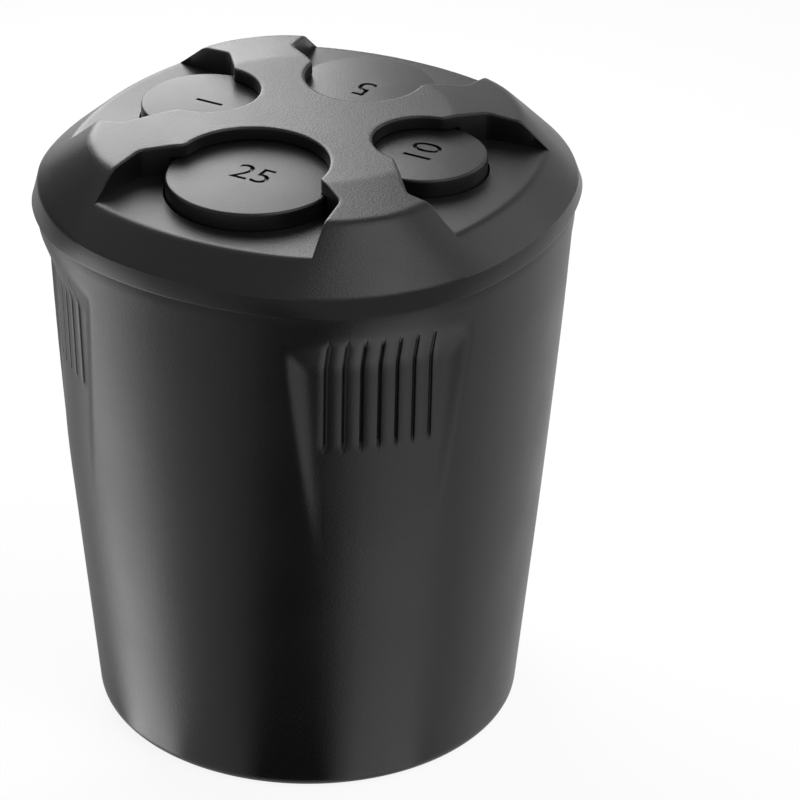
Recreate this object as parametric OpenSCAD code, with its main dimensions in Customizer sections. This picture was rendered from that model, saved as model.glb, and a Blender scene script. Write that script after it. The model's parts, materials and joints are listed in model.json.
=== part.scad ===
// Car coin holder: a tapered cup that stands in a drinks holder, closed by a cap
// with four sprung coin stacks. Each stack runs in its own tube. A coin lies on a
// pusher, a spring lifts both against the lips of the cap, and a thumb slides the
// coin out sideways through its notch.
//
// Units are millimetres, +Z is up, and the origin is the centre of the base.
// The front arm of the cross points along -Y. The quarter stands front left, the
// dime front right, the nickel back right and the penny back left.

/* [Coins] */
// Diameter of the quarter
quarter_d = 24.26; // [22:0.01:27]
// Diameter of the dime
dime_d = 17.91; // [16:0.01:20]
// Diameter of the nickel
nickel_d = 21.21; // [19:0.01:24]
// Diameter of the penny
penny_d = 19.05; // [17:0.01:22]
// Gap between a coin and its tube, on each side
coin_gap = 0.3; // [0.2:0.05:0.6]
// Height of the way under the lips, for one coin at a time
slot_h = 2.7; // [2.2:0.1:3.4]
// Extra room beside a coin on its way out
way_gap = 0.05; // [0.02:0.01:0.3]

/* [Layout] */
// Place of the wall between the quarter and dime tubes, along X
front_split = 2.9; // [0:0.1:5]
// Place of the wall between the penny and nickel tubes, along X
back_split = -0.3; // [-3:0.1:3]
// Place of the wall between the quarter and penny tubes, along Y
left_split = 2.3; // [0:0.1:5]
// Place of the wall between the dime and nickel tubes, along Y
right_split = -0.6; // [-3:0.1:3]
// Gap between the quarter and dime tubes
front_gap = 1.6; // [0.4:0.1:3]
// Gap between the other neighbouring tubes
tube_gap = 0.6; // [0.4:0.1:2]

/* [Tubes] */
// Wall of a coin tube
tube_wall = 0.7; // [0.5:0.1:1.2]
// Depth of the seat in the cap that takes the top of a tube
tube_seat = 1.2; // [0.6:0.1:1.6]
// Gap between a tube and its seat, on each side
seat_gap = 0.05; // [0.02:0.01:0.2]

/* [Cup] */
// Height of the cup, from the base to the joint with the cap
cup_h = 81; // [60:1:110]
// Wall of the cup
cup_wall = 1.9; // [1.4:0.1:3]
// Thickness of the cup's floor
cup_floor = 2.4; // [1.6:0.1:4]
// Gap between the widest tube and the cup's wall at the floor
base_gap = 0.3; // [0.2:0.1:3]
// How far the cup widens up to its rim, between the arms
flat_flare = 5.9; // [4:0.1:9]
// How far the cup widens up to its rim, under the arms
corner_flare = 7.6; // [7:0.1:9]
// How far the curves of the sides lie outside the wall at the foot, so that the foot is round
side_start = 1.2; // [0.8:0.1:2]
// Radius of the round at the foot of the cup
foot_round = 1.8; // [0.8:0.1:3]
// Width of the ring that the cup stands on
foot_ring = 3; // [1.5:0.1:6]
// Height of the hollow inside that ring
foot_hollow = 0.6; // [0.3:0.1:1.2]
// Depth of the seat inside the rim for the skirt of the cap
rim_seat = 7; // [4:0.5:10]
// Wall left round that seat, between the arms
rim_wall = 2.3; // [1.6:0.1:3]

/* [Grips] */
// Width of a grip panel at its bottom
grip_w = 22; // [18:0.5:26]
// Run of the slanted sides of a panel
grip_side = 2.5; // [1:0.5:4]
// Plain wall between the joint and the grip
grip_top_gap = 2.9; // [1.5:0.1:5]
// Height of the ramp at the top of a grip
grip_ramp = 6.3; // [3:0.1:9]
// Depth of the panel at the foot of the ramp
grip_depth = 1.7; // [1:0.1:1.9]
// Height of the panel, from the foot of the ramp down to where it meets the wall again
grip_h = 28; // [24:1:40]
// Distance from the axis back to the centre of the panel's curve
grip_offset = 40; // [20:1:60]
// Number of grooves on a panel
groove_count = 7; // [3:2:7]
// Distance between grooves
groove_pitch = 2.5; // [2:0.1:3]
// Width of a groove
groove_w = 0.7; // [0.4:0.1:1.2]
// Depth of a groove
groove_depth = 0.5; // [0.3:0.1:0.7]
// Height of a groove
groove_h = 18; // [10:1:22]
// Distance from the top of the ramp to the top of the grooves
groove_drop = 1.3; // [0.8:0.1:3]

/* [Cap] */
// How far the cap stands proud of the cup
cap_step = 0.6; // [0.3:0.1:1.2]
// Height of the band at the foot of the cap
band_h = 2.7; // [1.5:0.1:5]
// How far the band leans inwards, under the arms
band_lean_corner = 1; // [0.2:0.1:2]
// How far the band leans inwards, between the arms
band_lean_flat = 0.2; // [0.1:0.1:1]
// How far the bevel runs inwards, under the arms
bevel_corner = 8.7; // [7:0.1:10]
// How far the bevel runs inwards, between the arms
bevel_flat = 10; // [8:0.1:12]
// Height of the coin deck above the joint
deck_h = 6.8; // [5.6:0.1:9]
// Thickness of the coin deck
deck_t = 2.2; // [1.8:0.1:2.8]
// Thickness of the lips over the coins
lip_t = 1.9; // [1.5:0.1:3.5]
// Distance from the rim of the arms in to the flat crown
crown_in = 8.9; // [6:0.1:14]
// Slope of the arms outside the crown, in degrees
arm_slope = 6; // [2:0.5:9]
// How far the centre of a side's curve lies behind the axis
side_offset = 15; // [12:1:40]
// Length of the skirt inside the cup
skirt_h = 6; // [3:0.5:8]
// Wall of the skirt
skirt_t = 1.8; // [1.2:0.1:2.4]
// Gap between the skirt and the cup, on each side
skirt_gap = 0.1; // [0.05:0.05:0.3]
// Radius of the snap bead on the skirt
bead_r = 0.45; // [0.3:0.05:0.6]

/* [Notches] */
// Width of an arm of the cross between its notches
arm_w = 11.6; // [9:0.1:13]
// Place of the middle of the front arm, along X
front_arm = 2.2; // [0:0.1:4]
// Place of the middle of the back arm, along X
back_arm = 0; // [-2:0.1:2]
// Place of the middle of the left arm, along Y
left_arm = 2.1; // [0:0.1:4]
// Place of the middle of the right arm, along Y
right_arm = 0.5; // [-2:0.1:2]
// Distance from the rim in to where the arms start to widen
arm_flare_in = 6; // [4:0.1:10]
// Angle at which the arms widen, in degrees
arm_flare_angle = 30; // [15:1:40]
// How far the lip covers the edge of the quarter
quarter_lip = 1.5; // [0.8:0.1:3]
// How far the lip covers the edge of the dime
dime_lip = 1.8; // [0.8:0.1:3]
// How far the lip covers the edge of the nickel
nickel_lip = 2; // [0.8:0.1:3]
// How far the lip covers the edge of the penny
penny_lip = 2; // [0.8:0.1:3]

/* [Pushers] */
// Height of a pusher with its skirt
pusher_h = 9; // [6:0.5:12]
// Thickness of a pusher's top
pusher_top = 2.4; // [1.6:0.1:3.5]
// Wall of a pusher's skirt
pusher_wall = 1.1; // [0.8:0.1:1.6]
// Round on a pusher's edge
pusher_round = 0.5; // [0.2:0.1:0.8]
// Gap between a pusher and the lips above it
lip_gap = 0.2; // [0.1:0.05:0.4]
// Height of the numbers on the pushers
number_h = 4.4; // [3:0.1:6]
// Line width of the numbers
number_line = 0.55; // [0.4:0.05:0.8]
// Depth of the numbers
number_depth = 0.35; // [0.2:0.05:0.8]

/* [Springs] */
// Thickness of the spring wire
wire_d = 0.9; // [0.6:0.1:1.2]
// Gap between a spring and the skirt of its pusher
spring_gap = 0.4; // [0.3:0.1:1]
// Turns of the quarter's spring
quarter_turns = 7; // [5:1:12]
// Turns of the dime's spring
dime_turns = 9; // [5:1:12]
// Turns of the nickel's spring
nickel_turns = 8; // [5:1:12]
// Turns of the penny's spring
penny_turns = 8; // [5:1:12]

/* [Spring plate] */
// Thickness of the plate that the springs stand on
plate_t = 2.4; // [1.6:0.1:4]
// Gap between the plate and the cup's wall
plate_gap = 0.3; // [0.2:0.1:0.6]
// Height of the rings that centre the tubes
ring_h = 2; // [1:0.1:4]
// Wall of those rings
ring_wall = 1; // [0.6:0.1:1]
// Gap between a ring and its tube
ring_gap = 0.1; // [0.05:0.05:0.2]

/* [Hidden] */
$fn = 96;

body_color = "#17181a";
pusher_color = "#1b1c1e";
tube_color = "#2a2b2d";
plate_color = "#222325";
steel_color = "#b9bcc0";

// Overshoot of cutting shapes past the faces they cut
eps = 0.02;
// How far the surface of a grip panel runs on below the place where it meets the wall
grip_over = 6;
// Rings in one turn of a spring, and sides of its wire
turn_rings = 8;
wire_sides = 6;
// Straight length of the wire at each end of a spring
spring_leg = 1.5 * wire_d;
// How far the middle of the snap bead lies inside the face that carries it
bead_in = bead_r / 3;
// Facets of the snap bead
bead_fn = 32;
// Radii of the rounds of the numbers: of 0 and 2, and of 5
small_bow = number_h / 4;
large_bow = 0.3 * number_h;
// Distances from the middle of a two-digit number to the middle of a digit
wide_pair = 0.4 * number_h;
narrow_pair = 0.3 * number_h;

// Radii that follow from a coin's diameter
function bore_r(d) = d / 2 + coin_gap;
function tube_r(d) = bore_r(d) + tube_wall;

// Centres of the four stacks: neighbours share a split line and a gap
half_gap = tube_gap / 2;
half_front = front_gap / 2;
quarter_at = [front_split - half_front - tube_r(quarter_d), left_split - half_gap - tube_r(quarter_d)];
dime_at = [front_split + half_front + tube_r(dime_d), right_split - half_gap - tube_r(dime_d)];
nickel_at = [back_split + half_gap + tube_r(nickel_d), right_split + half_gap + tube_r(nickel_d)];
penny_at = [back_split - half_gap - tube_r(penny_d), left_split + half_gap + tube_r(penny_d)];

// One row a coin: diameter, centre, inner corner of its notch, lip, spring turns.
half_arm = arm_w / 2;
quarter = [quarter_d, quarter_at, [front_arm - half_arm, left_arm - half_arm], quarter_lip, quarter_turns];
dime = [dime_d, dime_at, [front_arm + half_arm, right_arm - half_arm], dime_lip, dime_turns];
nickel = [nickel_d, nickel_at, [back_arm + half_arm, right_arm + half_arm], nickel_lip, nickel_turns];
penny = [penny_d, penny_at, [back_arm - half_arm, left_arm + half_arm], penny_lip, penny_turns];
coins = [quarter, dime, nickel, penny];

function diameter(coin) = coin[0];
function centre(coin) = coin[1];
function notch_corner(coin) = coin[2];
function lip(coin) = coin[3];
function turns(coin) = coin[4];
// Signs of the quadrant that a coin stands in
function side(coin) = [sign(centre(coin)[0]), sign(centre(coin)[1])];
// Angle of the way out of a notch, along the diagonal of its quadrant
function way_out(coin) = atan2(side(coin)[1], side(coin)[0]);

// Radii of the cup: the widest tube sets the base
reach = max([for (c = coins) norm(centre(c)) + tube_r(diameter(c))]);
base_inner_r = reach + base_gap;
base_r = base_inner_r + cup_wall;
rim_flat_r = base_r + flat_flare;
rim_corner_r = base_r + corner_flare;
rim_seat_r = rim_flat_r - rim_wall;

// Radii of the cap at the foot and head of its band, and at the top of its bevel
cap_flat_r = rim_flat_r + cap_step;
cap_corner_r = rim_corner_r + cap_step;
band_flat_r = cap_flat_r - band_lean_flat;
band_corner_r = cap_corner_r - band_lean_corner;
top_flat_r = band_flat_r - bevel_flat;
top_corner_r = band_corner_r - bevel_corner;
crown_r = top_corner_r - crown_in;
arm_flare_r = top_corner_r - arm_flare_in;
skirt_r = rim_seat_r - skirt_gap;
cap_hollow_r = skirt_r - skirt_t;

// Heights
plate_z = cup_floor;
plate_top = plate_z + plate_t;
deck_z = cup_h + deck_h;
deck_under = deck_z - deck_t;
tube_top = deck_under + tube_seat;
lip_z = deck_z + slot_h;
top_z = lip_z + lip_t;
band_z = cup_h + band_h;
pusher_z = lip_z - lip_gap;
spring_top = pusher_z - pusher_top;
ramp_z = cup_h - grip_top_gap;
panel_z = ramp_z - grip_ramp;
groove_z = ramp_z - groove_drop - groove_h;
bead_z = cup_h - skirt_h / 2;

// Radius of the cup's corner at a height
function corner_r(z) = base_r + corner_flare * z / cup_h;
panel_r = corner_r(panel_z) - grip_depth;
panel_lean = (panel_r - corner_r(panel_z - grip_h)) / grip_h;
panel_run = grip_h + grip_over;
panel_foot_z = panel_z - panel_run;
panel_foot_r = panel_r - panel_run * panel_lean;
ramp_r = corner_r(ramp_z);

// A frustum with four rounded corners and four flatter sides, from z0 up to z1.
// The corners lie on one cone, and each side on a wide cone with its axis behind.
module four_sided(z0, z1, corner0, corner1, flat0, flat1) {
    intersection() {
        translate([0, 0, z0]) cylinder(h = z1 - z0, r1 = corner0, r2 = corner1);
        side_cones(z0, z1, flat0, flat1);
    }
}

module side_cones(z0, z1, flat0, flat1) {
    intersection_for(turn = [45 : 90 : 315]) {
        rotate(turn) translate([-side_offset, 0, z0])
            cylinder(h = z1 - z0, r1 = flat0 + side_offset, r2 = flat1 + side_offset);
    }
}

// Outer form of the cup, with a round at its foot
module cup_outside() {
    lean = atan(corner_flare / cup_h);
    round_x = base_r - foot_round * tan((90 - lean) / 2);
    tangent_x = round_x + foot_round * cos(lean);
    tangent_z = foot_round - foot_round * sin(lean);
    intersection() {
        rotate_extrude() {
            polygon([[0, 0], [round_x, 0], [tangent_x, tangent_z], [rim_corner_r, cup_h], [0, cup_h]]);
            translate([round_x, foot_round]) intersection() {
                circle(foot_round);
                translate([0, -foot_round]) square([2 * foot_round, 2 * foot_round]);
            }
        }
        side_cones(0, cup_h, base_r + side_start, rim_flat_r);
    }
}

// Surface of a grip panel and its ramp, turned towards -Y, set in by a depth
module grip_core(inset) {
    back = grip_offset - inset;
    translate([0, grip_offset, 0]) {
        translate([0, 0, panel_foot_z])
            cylinder(h = panel_run, r1 = panel_foot_r + back, r2 = panel_r + back);
        translate([0, 0, panel_z])
            cylinder(h = grip_ramp, r1 = panel_r + back, r2 = ramp_r + back);
    }
}

// Half the width of a grip between its slanted sides, at a distance from the axis
function grip_half_w(y) = grip_w / 2 + (y - panel_r) * grip_side / grip_depth;

// What a grip takes away: its panel with slanted sides, and its row of grooves
module grip_cut() {
    inner_y = panel_r - grip_depth;
    outer_y = cap_corner_r;
    inner_half = grip_half_w(inner_y);
    outer_half = grip_half_w(outer_y);
    first = -(groove_count - 1) / 2 * groove_pitch;
    difference() {
        translate([0, 0, panel_foot_z]) linear_extrude(panel_run + grip_ramp)
            polygon([
                [-inner_half, -inner_y], [inner_half, -inner_y],
                [outer_half, -outer_y], [-outer_half, -outer_y]
            ]);
        grip_core(0);
    }
    difference() {
        for (i = [0 : groove_count - 1]) {
            translate([first + i * groove_pitch - groove_w / 2, -outer_y, groove_z])
                cube([groove_w, outer_y - inner_y, groove_h]);
        }
        grip_core(groove_depth);
    }
}

// Inside of the cup, with the seat for the skirt and its snap groove
module cup_inside() {
    translate([0, 0, cup_floor])
        cylinder(
            h = cup_h - cup_floor + eps,
            r1 = base_inner_r + flat_flare * cup_floor / cup_h,
            r2 = base_inner_r + flat_flare
        );
    translate([0, 0, cup_h - rim_seat]) cylinder(h = rim_seat + eps, r = rim_seat_r);
    rotate_extrude() translate([rim_seat_r - bead_in, bead_z]) circle(bead_r + skirt_gap, $fn = bead_fn);
}

module outer_cup() {
    color(body_color) difference() {
        cup_outside();
        cup_inside();
        for (turn = [0 : 90 : 270]) rotate(turn) grip_cut();
        translate([0, 0, -eps])
            cylinder(h = foot_hollow + eps, r = base_r - foot_round - foot_ring);
    }
}

// Plan of a notch: the space between two arms, which widen near the rim, and the
// thumb hollow over the coin. The space starts at the middle of the coin, so that
// the hollow alone shapes the inner end.
module notch_plan(coin) {
    corner = notch_corner(coin);
    s = side(coin);
    run = cap_corner_r - arm_flare_r;
    wide = run * sin(arm_flare_angle);
    long = arm_flare_r + run * cos(arm_flare_angle);
    polygon([
        [corner[0], centre(coin)[1]],
        [corner[0], s[1] * arm_flare_r],
        [corner[0] + s[0] * wide, s[1] * long],
        [s[0] * long, corner[1] + s[1] * wide],
        [s[0] * arm_flare_r, corner[1]],
        [centre(coin)[0], corner[1]]
    ]);
    translate(centre(coin)) circle(diameter(coin) / 2 - lip(coin));
}

// What a coin's way takes from the cap: the seat of its tube, the bore up to the
// lips, and the straight way out under them
module coin_way(coin) {
    r = bore_r(diameter(coin));
    half = r + way_gap;
    translate([centre(coin)[0], centre(coin)[1], 0]) {
        translate([0, 0, deck_under - eps]) cylinder(h = tube_seat + eps, r = r + tube_wall + seat_gap);
        translate([0, 0, deck_under - eps]) cylinder(h = lip_z - deck_under + eps, r = r);
        rotate(way_out(coin)) translate([0, -half, deck_z]) cube([cap_corner_r, 2 * half, slot_h]);
    }
}

// Outer form of the cap: band, bevel, flat crown and sloping arms
module cap_outside() {
    slope_end_z = top_z - (cap_corner_r - crown_r) * tan(arm_slope);
    four_sided(cup_h, band_z, cap_corner_r, band_corner_r, cap_flat_r, band_flat_r);
    intersection() {
        four_sided(band_z, top_z, band_corner_r, top_corner_r, band_flat_r, top_flat_r);
        rotate_extrude() polygon([
            [0, band_z], [cap_corner_r, band_z], [cap_corner_r, slope_end_z], [crown_r, top_z], [0, top_z]
        ]);
    }
}

// Ring inside the cup that holds the cap, with its snap bead
module cap_skirt() {
    rotate_extrude() {
        translate([cap_hollow_r, cup_h - skirt_h]) square([skirt_t, skirt_h + deck_h - deck_t]);
        translate([skirt_r - bead_in, bead_z]) circle(bead_r, $fn = bead_fn);
    }
}

module top_cap() {
    color(body_color) difference() {
        union() {
            cap_outside();
            cap_skirt();
        }
        translate([0, 0, cup_h - skirt_h - eps])
            cylinder(h = deck_under - cup_h + skirt_h + eps, r = cap_hollow_r);
        for (c = coins) {
            translate([0, 0, deck_z]) linear_extrude(top_z) notch_plan(c);
            coin_way(c);
        }
    }
}

// Plate on the floor of the cup, with a ring for the foot of each tube
module spring_plate() {
    color(plate_color) {
        translate([0, 0, plate_z])
            cylinder(h = plate_t, r = base_inner_r + flat_flare * plate_z / cup_h - plate_gap);
        for (c = coins) translate([centre(c)[0], centre(c)[1], plate_z]) difference() {
            cylinder(h = plate_t + ring_h, r = bore_r(diameter(c)) - ring_gap);
            translate([0, 0, plate_t])
                cylinder(h = ring_h + eps, r = bore_r(diameter(c)) - ring_gap - ring_wall);
        }
    }
}

module coin_tube(coin) {
    color(tube_color) translate([centre(coin)[0], centre(coin)[1], plate_top]) difference() {
        cylinder(h = tube_top - plate_top, r = tube_r(diameter(coin)));
        translate([0, 0, -eps])
            cylinder(h = tube_top - plate_top + 2 * eps, r = bore_r(diameter(coin)));
    }
}

// Bar of a number, between two points, in the line width
module bar(from, to) {
    run = to - from;
    translate(from) rotate(atan2(run[1], run[0])) translate([0, -number_line / 2])
        square([norm(run), number_line]);
}

// Round line of a number
module bow(r) {
    difference() {
        circle(r + number_line / 2);
        circle(r - number_line / 2);
    }
}

// Numbers drawn from bars and bows, each in a box number_h high round the origin
module number_1() {
    h = number_h / 2;
    bar([0, -h], [0, h]);
    bar([-h / 2, h / 2], [0, h - number_line / 2]);
}

module number_0() {
    h = number_h / 2;
    r = small_bow;
    for (s = [-1, 1]) {
        intersection() {
            translate([0, s * (h - r)]) bow(r);
            translate([-h, s > 0 ? h - r : -h - number_line]) square([number_h, r + number_line]);
        }
        bar([s * r, r - h], [s * r, h - r]);
    }
}

module number_2() {
    h = number_h / 2;
    r = small_bow;
    intersection() {
        translate([0, h - r]) bow(r);
        translate([-h, h - r]) square([number_h, r + number_line]);
    }
    bar([r, h - r + number_line / 4], [-r, -h + number_line / 2]);
    bar([-r - number_line / 2, -h + number_line / 2], [r + number_line / 2, -h + number_line / 2]);
}

module number_5() {
    h = number_h / 2;
    r = large_bow;
    difference() {
        translate([0, r - h]) bow(r);
        translate([-h, r - h]) square([h - r / 2, r + number_line]);
    }
    bar([-r / 2, h - number_line / 2], [r, h - number_line / 2]);
    bar([-r / 2 + number_line / 2, h], [-r / 2 + number_line / 2, 2 * r - h - number_line]);
}

// Numbers stand with their heads towards the middle of the cap
module number_on(coin) {
    rotate(way_out(coin) + 90) children();
}

// A pusher: a disc with a rounded edge over a skirt that guides it in its tube
module pusher_body(coin) {
    r = diameter(coin) / 2;
    difference() {
        rotate_extrude() {
            translate([0, -pusher_h]) square([r, pusher_h - pusher_round]);
            translate([0, -pusher_round]) square([r - pusher_round, pusher_round]);
            translate([r - pusher_round, -pusher_round]) intersection() {
                circle(pusher_round);
                square([pusher_round, pusher_round]);
            }
        }
        translate([0, 0, -pusher_h - eps])
            cylinder(h = pusher_h - pusher_top + eps, r = r - pusher_wall);
        translate([0, 0, -number_depth]) linear_extrude(number_depth + eps)
            number_on(coin) children();
    }
}

module pusher(coin) {
    color(pusher_color) translate([centre(coin)[0], centre(coin)[1], pusher_z])
        pusher_body(coin) children();
}

// Middle line of a spring: an open helix from the plate up to its pusher
function spring_r(coin) = diameter(coin) / 2 - pusher_wall - spring_gap - wire_d / 2;
function helix_point(coin, i) =
    let (
        angle = 360 * i / turn_rings,
        low = plate_top + spring_leg,
        rise = spring_top - plate_top - 2 * spring_leg,
        r = spring_r(coin)
    )
    [r * cos(angle), r * sin(angle), low + rise * i / (turns(coin) * turn_rings)];
function helix(coin) = [for (i = [0 : turns(coin) * turn_rings]) helix_point(coin, i)];

// Ring of wire round a point: out is the radial way, across the way square to the
// wire and to out
function wire_ring(at, out, across) = [
    for (k = [0 : wire_sides - 1])
        let (a = 360 * k / wire_sides) at + wire_d / 2 * (out * cos(a) + across * sin(a))
];

// Rings of a spring. At each end the wire turns and stands straight on its leg,
// square to the plate or the pusher.
function spring_rings(coin) =
    let (
        line = helix(coin),
        last = len(line) - 1,
        up = [0, 0, 1],
        out = [for (i = [0 : last]) let (a = 360 * i / turn_rings) [cos(a), sin(a), 0]],
        along = [for (i = [0 : last]) let (a = 360 * i / turn_rings) [-sin(a), cos(a), 0]],
        foot = [line[0][0], line[0][1], plate_top],
        head = [line[last][0], line[last][1], spring_top]
    )
    concat(
        [wire_ring(foot, out[0], along[0])],
        [wire_ring(line[0], out[0], along[0] - up)],
        [for (i = [1 : last - 1]) wire_ring(line[i], out[i], -up)],
        [wire_ring(line[last], out[last], along[last] - up)],
        [wire_ring(head, out[last], along[last])]
    );

// Least gap between the turns of a spring, measured on its middle line
function spring_self_gap(coin) =
    let (line = helix(coin), last = len(line) - 1, apart = turn_rings / 2)
    min([
        for (i = [0 : last - apart], j = [i + apart : last]) norm(line[i] - line[j])
    ]) - wire_d;

module spring(coin) {
    rings = spring_rings(coin);
    count = len(rings);
    n = wire_sides;
    points = [for (ring = rings) each ring];
    sides = [
        for (i = [0 : count - 2], k = [0 : n - 1])
            let (a = i * n + k, b = i * n + (k + 1) % n)
            each [[a, a + n, b], [b, a + n, b + n]]
    ];
    foot = [for (k = [1 : n - 2]) [0, k, k + 1]];
    head = [for (k = [1 : n - 2]) let (o = (count - 1) * n) [o, o + k + 1, o + k]];
    echo(coin = diameter(coin), least_gap_of_spring_to_itself = spring_self_gap(coin));
    color(steel_color) translate([centre(coin)[0], centre(coin)[1], 0])
        polyhedron(points = points, faces = concat(sides, foot, head));
}

module quarter_tube() { coin_tube(quarter); }
module dime_tube() { coin_tube(dime); }
module nickel_tube() { coin_tube(nickel); }
module penny_tube() { coin_tube(penny); }

module quarter_pusher() {
    pusher(quarter) {
        translate([-wide_pair, 0]) number_2();
        translate([wide_pair, 0]) number_5();
    }
}

module dime_pusher() {
    pusher(dime) {
        translate([-narrow_pair, 0]) number_1();
        translate([narrow_pair, 0]) number_0();
    }
}

module nickel_pusher() { pusher(nickel) number_5(); }
module penny_pusher() { pusher(penny) number_1(); }

module quarter_spring() { spring(quarter); }
module dime_spring() { spring(dime); }
module nickel_spring() { spring(nickel); }
module penny_spring() { spring(penny); }

outer_cup();
top_cap();
spring_plate();
quarter_tube();
dime_tube();
nickel_tube();
penny_tube();
quarter_pusher();
dime_pusher();
nickel_pusher();
penny_pusher();
quarter_spring();
dime_spring();
nickel_spring();
penny_spring();
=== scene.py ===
"""Car coin holder: the looks of its cup, cap, pushers, tubes, plate and springs.

The script is laid out as an add-on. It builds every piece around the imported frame,
in metres, with +Z up and the front arm of the cap's cross along -Y.
"""

import json
import math

import bmesh
import bpy
from bpy.props import FloatProperty, FloatVectorProperty, IntProperty, PointerProperty
from mathutils import Matrix, Vector

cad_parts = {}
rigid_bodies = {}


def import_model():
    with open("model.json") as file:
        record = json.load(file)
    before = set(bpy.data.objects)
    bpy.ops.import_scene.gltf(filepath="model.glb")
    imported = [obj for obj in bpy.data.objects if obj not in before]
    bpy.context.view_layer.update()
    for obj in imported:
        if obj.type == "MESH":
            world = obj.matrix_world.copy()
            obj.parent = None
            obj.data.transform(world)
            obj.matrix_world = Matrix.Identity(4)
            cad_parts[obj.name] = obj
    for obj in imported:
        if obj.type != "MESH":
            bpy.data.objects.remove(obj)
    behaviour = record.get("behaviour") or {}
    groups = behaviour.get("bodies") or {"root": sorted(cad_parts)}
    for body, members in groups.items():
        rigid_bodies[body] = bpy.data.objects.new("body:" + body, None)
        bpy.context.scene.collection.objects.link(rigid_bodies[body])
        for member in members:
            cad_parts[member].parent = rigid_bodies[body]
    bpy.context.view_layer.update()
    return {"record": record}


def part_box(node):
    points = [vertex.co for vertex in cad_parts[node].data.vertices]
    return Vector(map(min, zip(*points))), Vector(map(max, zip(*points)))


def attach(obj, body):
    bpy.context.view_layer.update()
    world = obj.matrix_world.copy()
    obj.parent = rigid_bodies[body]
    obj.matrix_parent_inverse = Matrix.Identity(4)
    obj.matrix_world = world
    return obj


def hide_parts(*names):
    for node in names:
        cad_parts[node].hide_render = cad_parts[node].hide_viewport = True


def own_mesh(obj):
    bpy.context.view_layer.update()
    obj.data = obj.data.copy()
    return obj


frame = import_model()
CUP_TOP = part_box("outer_cup")[1].z
CAP_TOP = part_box("top_cap")[1].z

bl_info = {
    "name": "Car coin holder",
    "version": (1, 0, 0),
    "blender": (4, 5, 0),
    "location": "View3D > Sidebar > Coin holder",
    "description": "Builds a cup with a cross-armed cap and four sprung coin pushers",
    "category": "Object",
}

MM = 0.001
COINS = ("quarter", "dime", "nickel", "penny")
NUMBERS = {"quarter": "25", "dime": "10", "nickel": "5", "penny": "1"}
ARM_TURNS = (-math.pi / 2, 0.0, math.pi / 2, math.pi)
SIDE_TURNS = [math.radians(turn) for turn in (45, 135, 225, 315)]
HOUSING = "housing"

# Distances under which points merge, on turned pieces and on the cap's upper surface
MERGE = 0.001 * MM
SHEET_MERGE = 0.003 * MM
# Angles past which an edge is sharp, on mouldings and on the wire, in degrees
SHARP_EDGE = 35.0
SHARP_WIRE = 60.0
# Steps round turned pieces and round the pushers, and points in the rounds of edges, foot and pushers
TURNED_STEPS = 96
PUSHER_STEPS = 128
EDGE_POINTS = 4
FOOT_POINTS = 7
PUSHER_POINTS = 6

# Plastics: scale of the grain, strength of its bump, lowest and highest roughness, specular level
PLASTICS = {
    "shell": (3600.0, 0.9, 0.3, 0.38, 0.2),
    "pusher": (3600.0, 0.8, 0.3, 0.38, 0.2),
    "inner": (1500.0, 0.3, 0.42, 0.55, 0.4),
}
# Scale of the plastics' mottle, the span of it that changes the gloss, the darkest and the lightest tint, and
# the height of the grain
MOTTLE_SCALE = 60.0
MOTTLE_SPAN = (0.3, 0.7)
TINTS = (0.85, 1.2)
GRAIN_HEIGHT = 0.034 * MM
# Scale of the wire's mottle, the span of it that changes the gloss, and the lowest and highest roughness
STEEL_MOTTLE = 300.0
STEEL_SPAN = (0.0, 1.0)
STEEL_ROUGH = (0.18, 0.4)

# How fast a groove deepens from its edge, and where its columns stand, in halves of its width
GROOVE_FLANK = 1.25
GROOVE_COLUMNS = (-1.2, -0.8, -0.4, 0, 0.4, 0.8, 1.2)
# Columns beside the grooves of a grip and on a side of the cup, and rows below the grips and over them
FLANK_COLUMNS = 17
SIDE_COLUMNS = 18
LOW_ROWS = 14
GRIP_ROWS = 66
# Plain wall below and above a grip that the close rows take in, and the gap from the foot's round to the rows
GRIP_BELOW = 2 * MM
GRIP_ABOVE = 0.8 * MM
FOOT_GAP = 0.5 * MM
# Turn of the wall near the edge of a grip's columns, in radians, and passes that find a point across an arm
GRIP_EDGE_TURN = 0.45
ACROSS_PASSES = 3

# Run over which the arms' fall is stated, and the halvings that find the outline, with where they start and
# stop in radii of the cap
FALL_RUN = 10 * MM
HALVINGS = 40
OUTLINE_START = 0.5
OUTLINE_STOP = 1.2
# Segments of the round on a notch, and how often the tuck at the band's foot goes into the band's round
NOTCH_SEGMENTS = 4
BAND_TUCK = 3
# How far a coin's way is cut below the deck and beside the bore, and how far it stays off deck and lips
CUT_BELOW = 1 * MM
WAY_BESIDE = 0.05 * MM
WAY_OFF_DECK = 0.03 * MM
WAY_OFF_LIPS = 0.01 * MM
# Fineness of the numbers' curves
NUMBER_CURVE = 6

# Steps in a turn of a spring, sides of its wire, and the lean of its leg halfway and at the coil, in degrees
COIL_STEPS = 32
WIRE_SIDES = 10
HALF_LEAN = 45
FULL_LEAN = 86

# Camera: lens and sensor in millimetres, shift, height of its target, turn from the front, lift and distance
LENS = 192.6
SENSOR = 36.0
SHIFT = 0.115
TARGET_Z = 46.92 * MM
CAMERA_TURN = math.radians(-15.73)
CAMERA_LIFT = math.radians(29.47)
CAMERA_AWAY = 622.3 * MM
# Lamps round the holder: degrees to the right of the camera, degrees up, distance, width, height, brightness
SOFT_BOXES = {
    "back_box": (-159.5, 36.0, 0.22, 0.15, 0.2, 6.5),
    "right_box": (106.0, 31.0, 0.6, 0.3, 0.3, 2.8),
    "top_box": (46.0, 55.0, 0.7, 0.4, 0.4, 4.8),
}
# Dark flags that show in gloss only, in the same order
SIDE_FLAGS = {
    "left_flag": (-132.0, 12.0, 0.5, 0.45, 0.26, 0.08),
}
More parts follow.
